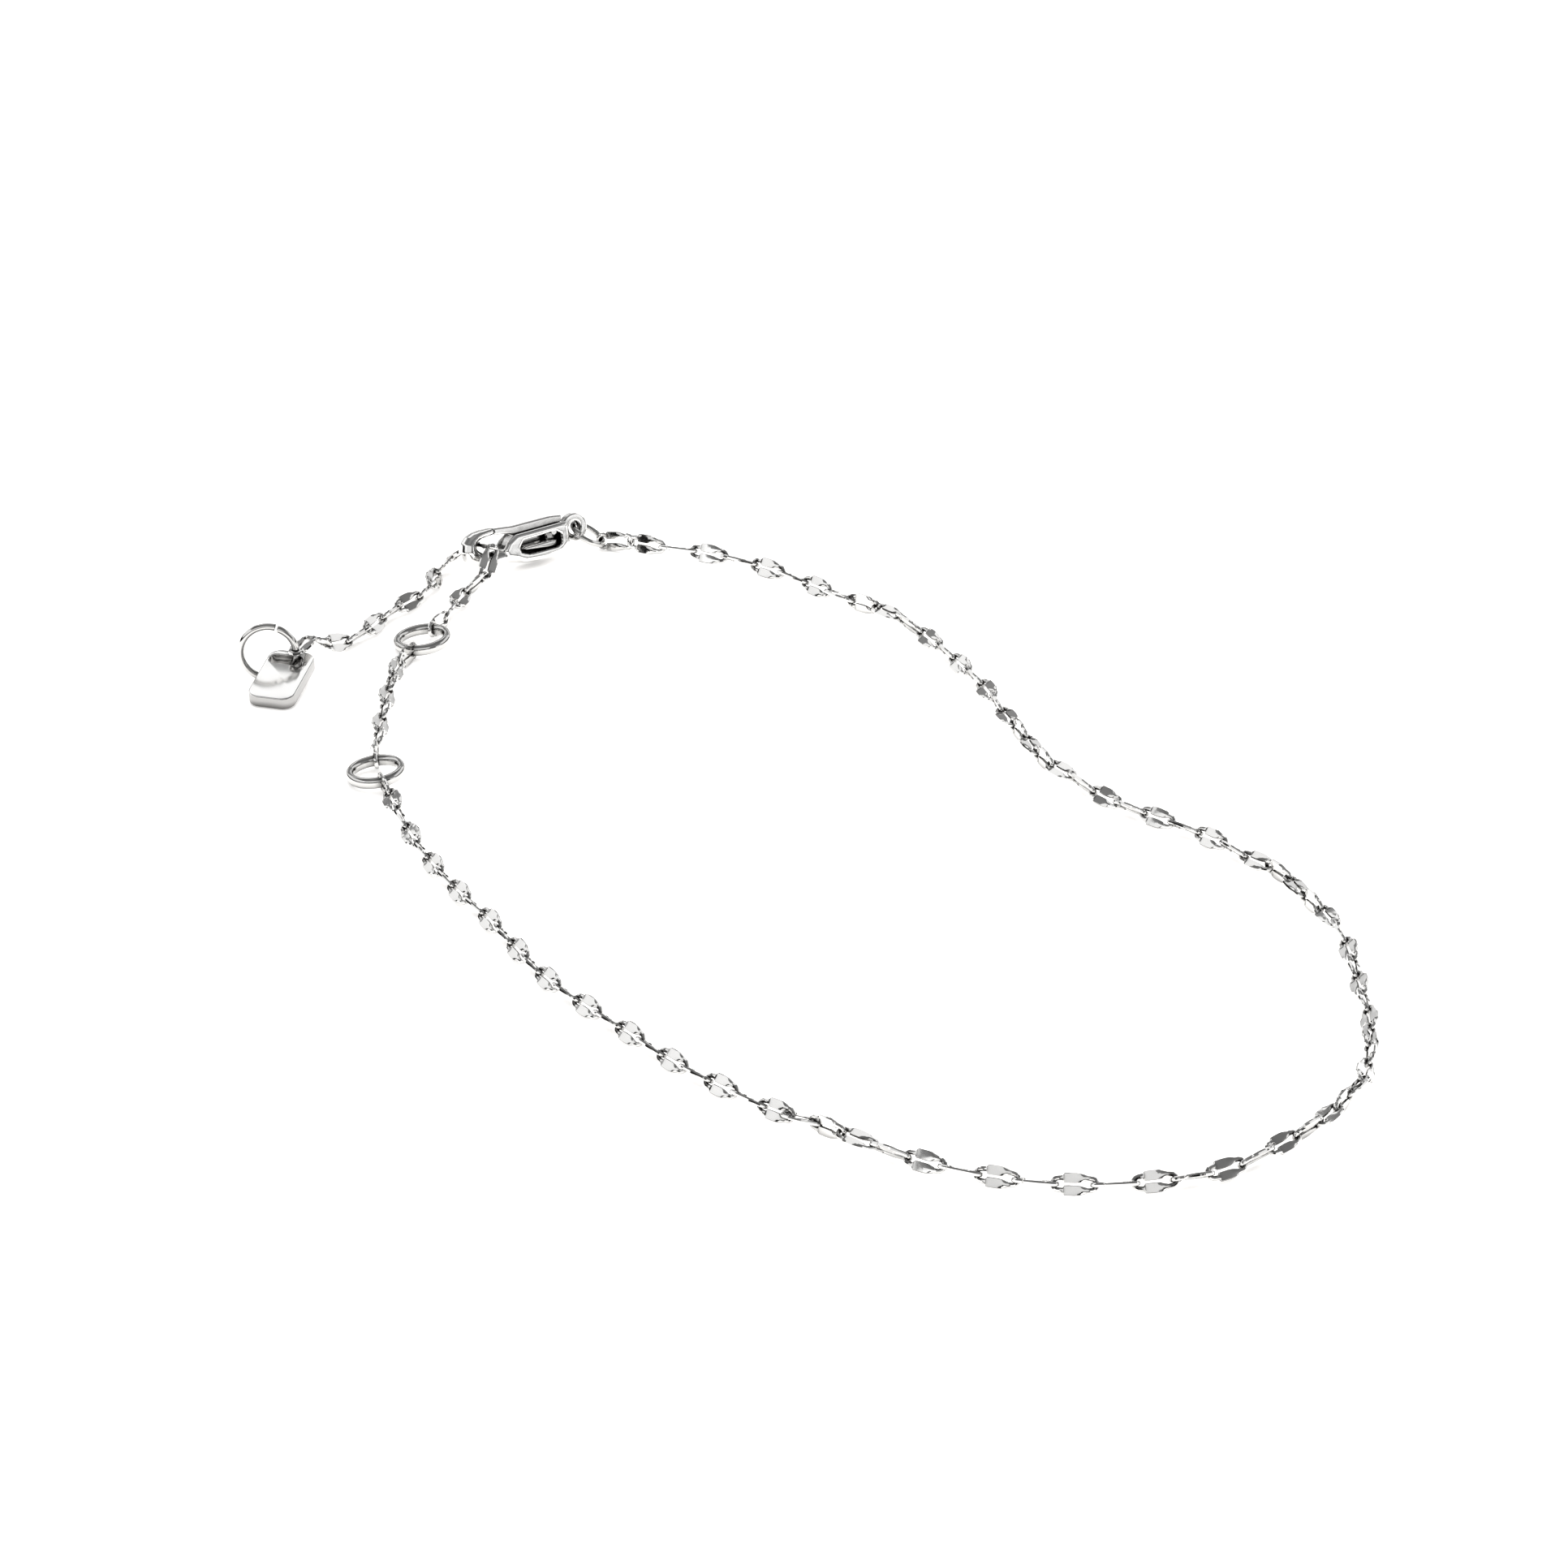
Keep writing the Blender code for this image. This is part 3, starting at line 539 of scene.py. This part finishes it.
def soldered_ring(name, at, size):
    bm = bmesh.new()
    wire_circle(bm, size, BAND_HEIGHT / size[1])
    bmesh.ops.spin(bm, geom=bm.verts[:] + bm.edges[:], cent=(0, 0, 0), axis=(0, 0, 1),
                   angle=2 * math.pi, steps=RING_STEPS, use_merge=True)
    return keep(name, bm, silver_wire, to_world=TO_WORLD @ at)


def cut_ring(name, at, size, cut_at):
    """A ring whose ends pass each other, with the cut at so many degrees."""
    bm = bmesh.new()
    wire_circle(bm, size)
    arc = 2 * math.pi - CUT_GAP / ((size[0] - size[1]) / 2)
    bmesh.ops.spin(bm, geom=bm.verts[:] + bm.edges[:], cent=(0, 0, 0), axis=(0, 0, 1), angle=arc,
                   steps=CUT_RING_STEPS, dvec=(0, 0, CUT_CLIMB / CUT_RING_STEPS))
    ends = [edge for edge in bm.edges if edge.is_boundary]
    caps = bmesh.ops.holes_fill(bm, edges=ends, sides=WIRE_SIDES)["faces"]
    rims = list({edge for face in caps for edge in face.edges})
    bmesh.ops.bevel(bm, geom=rims, offset=CUT_BEVEL, segments=2, profile=0.5, affect="EDGES", material=-1)
    level = Matrix.Translation((0, 0, -CUT_CLIMB / 2))
    turned = Matrix.Rotation(math.radians(cut_at), 4, "Z") @ level
    bmesh.ops.transform(bm, matrix=turned, verts=bm.verts)
    return keep(name, bm, silver_wire, to_world=TO_WORLD @ at)


size_ring_1 = soldered_ring("soldered_ring_1", ring_1_at, SIZE_RING)
size_ring_2 = soldered_ring("soldered_ring_2", ring_2_at, SIZE_RING)
jump_ring = cut_ring("cut_jump_ring", jump_at, JUMP_RING, 150.0)
end_ring = cut_ring("cut_end_ring", end_at, END_RING, 74.0)
for piece, node in ((size_ring_1, "size_ring_1"), (size_ring_2, "size_ring_2"),
                    (jump_ring, "jump_ring"), (end_ring, "end_ring")):
    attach(piece, "anklet")
    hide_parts(node)

# %% [markdown]
# ## Laying the links
#
# Now each stretch of chain becomes one piece. We copy the link into every frame of its route, and
# stretch it there to reach its neighbours. A link that holds a ring is the one with rounder ends, and
# reaches a little further, because the ring's wire is thicker than a link's.

# %% Chains
RING_PLAY = 0.02
LEAST_STRETCH = 0.99


def row_on_ring(at, size, neighbour):
    """A route's end on a ring's wire, on the neighbour's side."""
    local = at.inverted() @ Vector(neighbour[:3])
    local.z = 0.0
    return tuple(at @ (local.normalized() * (size[0] - size[1]) / 2)) + (neighbour[3],)


def axis_of(at):
    return at.to_3x3().col[2].copy()


def placed_link(at, half, back, ahead):
    """Where a link goes: half is half its step, back and ahead how far it reaches past the joints."""
    stretch = max(LEAST_STRETCH, (half * 2 + back + ahead) / (2 * HALF_LINK))
    flip = Matrix.Rotation(math.pi if at.to_3x3().col[0].x < 0 else 0.0, 4, "Z")
    return at @ Matrix.Translation(((ahead - back) / 2, 0, 0)) @ Matrix.Diagonal((stretch, 1, 1, 1)) @ flip


def lay_chain(name, frames, first_ring, last_ring, node):
    """One piece from a run of links; a ring's wire is given where an end link holds one."""
    bm = bmesh.new()
    ring_wires = [first_ring] + [None] * (len(frames) - 1), [None] * (len(frames) - 1) + [last_ring]
    for (at, half), ring_behind, ring_ahead in zip(frames, *ring_wires):
        back = ring_behind / 2 + WIRE / 2 + RING_PLAY if ring_behind else WIRE / 2
        ahead = ring_ahead / 2 + WIRE / 2 + RING_PLAY if ring_ahead else WIRE / 2
        laid = len(bm.verts)
        bm.from_mesh(open_link if ring_behind or ring_ahead else mirror_link)
        bm.verts.ensure_lookup_table()
        bmesh.ops.transform(bm, matrix=placed_link(at, half, back, ahead), verts=bm.verts[laid:])
    piece = keep(name, bm, silver_link, crease=28.0, to_world=TO_WORLD)
    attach(piece, "anklet")
    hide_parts(node)


# a row ends with its link's number: link 1 starts at 0.5, and one more link follows the last row
main_rows = [(x, y, rest_height(lean), lean, number) for number, x, y, lean in MAIN_ROUTE]
main_rows.insert(0, row_on_ring(jump_at, JUMP_RING, main_rows[0]) + (0.5,))
main_rows.append(row_on_ring(ring_1_at, SIZE_RING, main_rows[-1]) + (main_rows[-1][4] + 1.5,))
main_frames = link_frames(numbered_joints(main_rows), ((0, axis_of(jump_at)), (-1, axis_of(ring_1_at))))
half_way = round(len(main_frames) * 0.5)
lay_chain("mirror_links_back", main_frames[:half_way], JUMP_RING[1], None, "main_chain_back")
lay_chain("mirror_links_front", main_frames[half_way:], None, SIZE_RING[1], "main_chain_front")

size_rows = [(x, y, rest_height(lean), lean) for x, y, lean in SIZE_ROUTE]
size_rows.insert(0, row_on_ring(ring_1_at, SIZE_RING, size_rows[0]))
size_rows.append(row_on_ring(ring_2_at, SIZE_RING, size_rows[-1]))
size_frames = link_frames(joints_along(size_rows), ((0, axis_of(ring_1_at)), (-1, axis_of(ring_2_at))))
lay_chain("mirror_links_between_rings", size_frames, SIZE_RING[1], SIZE_RING[1], "size_chain")

# %% [markdown]
# ## The lobster clasp
#
# A lobster clasp is a small casting: an eye, a hollow housing with a window in its cheek, a spine
# that runs on into the hook, and a sprung lever in the housing that shuts the hook. Cast and tumbled
# metal has no hard edge anywhere. So we put together overlapping rough forms, cut the slot, the window
# and the eye, and let a voxel remesh fuse them. Smoothing then rounds every edge, as tumbling does.
# The photograph doesn't show the far cheek, so it gets only a shallow recess of the window's shape.

# %% Clasp outlines
CLASP_LEAN = math.radians(15.0)
CLASP_HEADING = math.radians(215.0)
clasp_turn = Matrix.Rotation(CLASP_HEADING, 4, "Z") @ Matrix.Rotation(CLASP_LEAN - math.pi / 2, 4, "X")
EYE_AT = (-17.95, 55.60, 2.30)
clasp_at = Matrix.Translation(EYE_AT) @ clasp_turn
SPINE = (
    # x from the eye, y down to the spine, width in the profile, thickness
    (0.90, 0.30, 1.10, 0.90), (1.60, 0.66, 1.20, 1.35), (2.30, 1.00, 1.25, 1.70),
    (3.20, 1.26, 1.20, 1.95), (4.20, 1.42, 1.15, 2.05), (5.20, 1.25, 1.25, 2.05),
    (6.00, 1.00, 1.40, 2.00), (6.80, 0.84, 1.32, 1.95), (7.60, 0.75, 1.30, 1.90),
    (8.30, 0.75, 1.20, 1.88), (8.90, 0.75, 1.10, 1.90), (9.50, 0.60, 1.22, 1.92),
    (10.02, 0.34, 1.38, 1.92), (10.42, 0.00, 1.50, 1.92), (10.60, -0.45, 1.50, 1.88),
    (10.50, -0.90, 1.36, 1.78), (10.22, -1.24, 1.10, 1.62), (9.80, -1.46, 0.92, 1.50),
    (9.30, -1.56, 0.82, 1.40), (8.70, -1.58, 0.76, 1.30), (8.12, -1.57, 0.70, 1.18),
)
# outlines in the clasp's profile: x from the eye to the nose, y down to the spine
HOUSING = (
    (1.00, -0.80), (1.60, -0.92), (6.15, -0.92), (7.05, -0.45), (7.55, 0.20), (7.40, 0.95), (6.40, 1.30),
    (5.70, 1.66), (3.60, 1.86), (1.80, 1.62), (1.00, 1.00),
)
SLOT = ((1.75, -2.60), (7.80, -2.60), (7.80, 0.05), (5.90, 0.30), (5.45, 1.30), (2.30, 1.34), (1.75, 0.90))
WINDOW = (
    (1.75, 0.05), (2.30, -0.36), (5.60, -0.28), (6.05, 0.25), (5.90, 0.80), (5.20, 1.04), (2.40, 1.10),
    (1.85, 0.85),
)
LEVER = (
    (1.15, -1.40), (2.40, -1.58), (3.30, -1.10), (2.80, -0.30), (2.75, 0.80), (2.30, 0.95), (2.00, 0.05),
    (2.00, -0.90), (1.15, -0.98),
)
LEVER_TOP = (
    (1.15, -1.40), (2.40, -1.58), (6.20, -1.62), (8.04, -1.84), (8.04, -1.28), (6.60, -1.00), (5.90, -0.62),
    (1.90, -0.62), (1.15, -0.98),
)
LEVER_BOSS = (
    (2.00, 0.48), (2.60, 0.38), (5.20, 0.42), (5.60, 0.55), (5.20, 0.82), (3.00, 1.14), (2.05, 1.10),
)
PIVOT = (2.50, -0.30, 0.0)
CLASP_WIDTH = 2.10
SPINE_SIDES = 24
print("clasp", round(max(x for x, _, _, _ in SPINE), 1), "mm from the eye to the hook's middle line")

# %% Clasp helpers


def plate(outline, thickness, rounding=0.0, lift=0.0):
    """A flat outline, extruded about z = lift, with its rims bevelled."""
    bm = bmesh.new()
    face = bm.faces.new([bm.verts.new((x, y, lift - thickness / 2)) for x, y in outline])
    grown = bmesh.ops.extrude_face_region(bm, geom=[face])
    bmesh.ops.translate(bm, verts=new_of(bmesh.types.BMVert, grown), vec=(0, 0, thickness))
    bmesh.ops.recalc_face_normals(bm, faces=bm.faces)
    if rounding:
        rims = [edge for edge in bm.edges if abs(edge.verts[0].co.z - edge.verts[1].co.z) < LEVEL]
        bmesh.ops.bevel(bm, geom=rims, offset=rounding, segments=3, profile=0.5, affect="EDGES",
                        material=-1)
    return bm


def rod(radius, length, centre, sides=28):
    """A solid round bar along Z."""
    bm = bmesh.new()
    bmesh.ops.create_cone(bm, cap_ends=True, segments=sides, radius1=radius, radius2=radius, depth=length,
                          matrix=Matrix.Translation(centre))
    return bm


def rough(bm):
    """An object for a modifier to work on, or with."""
    mesh = bpy.data.meshes.new("rough")
    bm.to_mesh(mesh)
    bm.free()
    piece = bpy.data.objects.new("rough", mesh)
    bpy.context.scene.collection.objects.link(piece)
    return piece


def cast(name, forms, cuts, finish, voxel, smoothing, at):
    """Fuse the forms, cut the cuts out of them, and tumble the result smooth.

    The voxels are finer than the thinnest wall, so that the remesh leaves no holes in it.
    """
    base = rough(forms[0])
    helpers = [(rough(form), "UNION") for form in forms[1:]] + [(rough(cut), "DIFFERENCE") for cut in cuts]
    for helper, operation in helpers:
        step = base.modifiers.new(operation, "BOOLEAN")
        step.object = helper
        step.operation = operation
    fuse = base.modifiers.new("fuse", "REMESH")
    fuse.mode = "VOXEL"
    fuse.voxel_size = voxel
    tumble = base.modifiers.new("tumble", "SMOOTH")
    tumble.iterations = smoothing
    graph = bpy.context.evaluated_depsgraph_get()
    bm = bmesh.new()
    bm.from_object(base, graph)
    for piece in [base] + [helper for helper, _ in helpers]:
        bpy.data.objects.remove(piece)
    return keep(name, bm, finish, crease=60.0, to_world=TO_WORLD @ at)


def run_of(rows, index):
    """The way a line of rows runs at one of them."""
    before, after = rows[max(index - 1, 0)], rows[min(index + 1, len(rows) - 1)]
    return after[0] - before[0], after[1] - before[1]


# %% Clasp body, lever and pin
spine = bmesh.new()
loops = sweep(spine, [station(x, y, run_of(SPINE, index), width, thickness)
                      for index, (x, y, width, thickness) in enumerate(SPINE)], SPINE_SIDES)
bmesh.ops.holes_fill(spine, edges=loops[0] + loops[-1], sides=SPINE_SIDES)
bmesh.ops.recalc_face_normals(spine, faces=spine.faces)
housing = plate(HOUSING, CLASP_WIDTH, 0.28)
eye = rod(1.25, 0.72, (0, 0, 0), 40)
eye_hole = rod(0.60, 4.0, (0, 0, 0), 32)
lever_slot = plate(SLOT, 1.30)
near_window = plate(WINDOW, 2.0, lift=1.0)
far_recess = plate(WINDOW, 0.5, lift=-1.1)
clasp_body = cast("cast_clasp_body", [spine, housing, eye], [lever_slot, near_window, far_recess, eye_hole],
                  silver_cast, 0.055, 14, clasp_at)
lever_forms = [plate(LEVER, 0.36), plate(LEVER_TOP, 0.90, 0.12), plate(LEVER_BOSS, 1.14, 0.22)]
clasp_lever = cast("cast_clasp_lever", lever_forms, [], silver_cast, 0.045, 4, clasp_at)
rivet = rod(0.25, CLASP_WIDTH - 0.06, PIVOT)
clasp_pin = keep("clasp_rivet", rivet, silver_cast, to_world=TO_WORLD @ clasp_at)
for piece, node, body in ((clasp_body, "clasp_body", "anklet"), (clasp_lever, "clasp_lever", "lever"),
                          (clasp_pin, "clasp_pin", "anklet")):
    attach(piece, body)
    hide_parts(node)

# %% [markdown]
# ## The chain through the clasp
#
# The tail comes from the second size ring, passes through the hook, and goes back to the ring in the
# tag. So it is laid from two routes that meet in the hook. The link in the hook and its two neighbours
# are given their widths one by one, because the hook decides how they turn and not the floor.

# %% Chain through the clasp
HOOKED_TURN = math.radians(-24.0)
to_clasp = list(TAIL_TO_CLASP)
to_clasp.insert(0, row_on_ring(ring_2_at, SIZE_RING, to_clasp[0]))
from_clasp = list(TAIL_FROM_CLASP)
from_clasp.append(row_on_ring(end_at, END_RING, from_clasp[-1]))
start_joints = joints_along(to_clasp)
clasped = len(start_joints) - 1
beside = clasp_at.to_3x3().col[0]
across = Matrix.Rotation(HOOKED_TURN, 3, axis_of(clasp_at)) @ beside
tail_widths = ((0, axis_of(ring_2_at)), (clasped - 1, beside), (clasped, across), (clasped + 1, beside),
               (-1, axis_of(end_at)))
tail_frames = link_frames(start_joints + joints_along(from_clasp), tail_widths)
lay_chain("mirror_links_tail", tail_frames, SIZE_RING[1], END_RING[1], "tail_chain")

# %% [markdown]
# ## The tag
#
# The tag is a thick little plate with round corners, and a slot that its ring stands in. A cube gives
# it: its four upright edges are bevelled into round corners, a smaller one of the same kind cuts the
# slot, and a last fine bevel takes the sharpness off every rim, which is where polished plate shines.
# It doesn't lie quite flat, because its ring holds up the end with the slot.

# %% Tag
TAG_SIZE = (4.00, 6.90, 1.05)
TAG_CORNER = 1.05
TAG_RIM = 0.12
TAG_SLOT = (2.80, 1.25, 4.0)
SLOT_CORNER = 0.56
SLOT_AT = (-0.35, TAG_SIZE[1] / 2 - 0.70 - 0.625, 0.0)
TAG_AT = (-41.10, 27.20)
TAG_TURN = math.radians(-15.5)
TAG_TILT = math.radians(10.0)
TAG_GAP = 0.06


def rounded_plate(size, corner):
    bm = bmesh.new()
    bmesh.ops.create_cube(bm, size=1.0, matrix=Matrix.Diagonal((*size, 1.0)))
    uprights = [edge for edge in bm.edges if abs(edge.verts[0].co.z - edge.verts[1].co.z) > LEVEL]
    bmesh.ops.bevel(bm, geom=uprights, offset=corner, segments=8, profile=0.5, affect="EDGES",
                    material=-1)
    return bm


tag_form = rough(rounded_plate(TAG_SIZE, TAG_CORNER))
slot_form = rough(rounded_plate(TAG_SLOT, SLOT_CORNER))
slot_form.matrix_world = Matrix.Translation(SLOT_AT)
cut = tag_form.modifiers.new("slot", "BOOLEAN")
cut.object = slot_form
cut.operation = "DIFFERENCE"
rim = tag_form.modifiers.new("rim", "BEVEL")
rim.width = TAG_RIM
rim.segments = 3
rim.angle_limit = math.radians(50.0)
bpy.context.view_layer.update()
tag_bm = bmesh.new()
tag_bm.from_object(tag_form, bpy.context.evaluated_depsgraph_get())
bpy.data.objects.remove(tag_form)
bpy.data.objects.remove(slot_form)
tag_height = TAG_SIZE[2] / 2 * math.cos(TAG_TILT) + TAG_SIZE[1] / 2 * math.sin(TAG_TILT) + TAG_GAP
tag_turn = Matrix.Rotation(TAG_TURN, 4, "Z") @ Matrix.Rotation(TAG_TILT, 4, "X")
tag_at = Matrix.Translation((*TAG_AT, tag_height)) @ tag_turn
tag = keep("polished_tag", tag_bm, silver_plate, crease=30.0, to_world=TO_WORLD @ tag_at)
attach(tag, "anklet")
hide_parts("tag")

# %% [markdown]
# ## Surface and light
#
# The anklet lies on plain white. Silver has no colour of its own to show: it shows the room. So the
# room is what we light. The floor is a lit white sweep, which gives the white in every lower side and
# keeps the shadows faint. Low down the sky is nearly black, and that band draws the thin dark lines
# in round wire. Higher up it is an even grey, and each soft box turns the leaves that face it white.
# One large box above lights the floor and is hidden from the metal, which would lose its greys in it.

# %% Floor
floor_bm = bmesh.new()
bmesh.ops.create_grid(floor_bm, x_segments=1, y_segments=1, size=1.5)
floor_finish = Finish("lit_white_surface", Base_Color=(0.93, 0.922, 0.912, 1.0), Roughness=0.9,
                      Specular_IOR_Level=0.1, Emission_Color=(1.0, 0.985, 0.965, 1.0),
                      Emission_Strength=0.40)
floor = keep("surface", floor_bm, floor_finish.material)

# %% Sky and soft boxes
SKY = (
    # height of the direction, grey
    (0.00, 0.01), (0.16, 0.015), (0.21, 0.20), (0.45, 0.32), (0.65, 0.24), (0.85, 0.16), (0.97, 0.30),
)
world = bpy.data.worlds.new("studio")
bpy.context.scene.world = world
world.use_nodes = True
sky = Nodes(world.node_tree)
direction = sky.node("ShaderNodeTexCoord").outputs["Generated"]
height = sky.node("ShaderNodeSeparateXYZ", Vector=direction).outputs["Z"]
greys = sky.node("ShaderNodeValToRGB", {"stops": SKY}, Fac=height)
sky.connect(sky.tree.nodes["Background"].inputs["Color"], greys.outputs["Color"])
bpy.context.scene.view_settings.view_transform = "Standard"


def soft_box(name, place, size, watts, seen_in_metal):
    data = bpy.data.lights.new(name, "AREA")
    data.shape = "RECTANGLE"
    data.size, data.size_y = size
    data.energy = watts
    lamp = bpy.data.objects.new(name, data)
    lamp.location = place
    lamp.rotation_euler = (-Vector(place)).to_track_quat("-Z", "Y").to_euler()
    lamp.visible_glossy = seen_in_metal
    bpy.context.scene.collection.objects.link(lamp)
    print(name, "at", place)


# name, place and size in metres, watts, seen in the metal
SOFT_BOXES = (
    ("soft_box_top", (0.05, 0.15, 0.85), (2.0, 2.0), 20.0, False),
    ("soft_box_left", (-0.98, 0.08, 0.47), (2.0, 0.52), 2.9, True),
    ("soft_box_back", (-0.15, 0.68, 0.72), (0.80, 0.42), 1.0, True),
    ("soft_box_far", (0.00, 1.00, 0.21), (2.0, 0.28), 1.2, True),
    ("soft_box_front", (-0.20, -0.87, 0.45), (1.50, 0.55), 1.7, True),
    ("soft_box_right", (0.88, 0.38, 0.42), (1.30, 0.50), 1.7, True),
    ("soft_box_low", (0.95, -0.42, 0.14), (0.45, 0.22), 0.36, True),
)
for row in SOFT_BOXES:
    soft_box(*row)
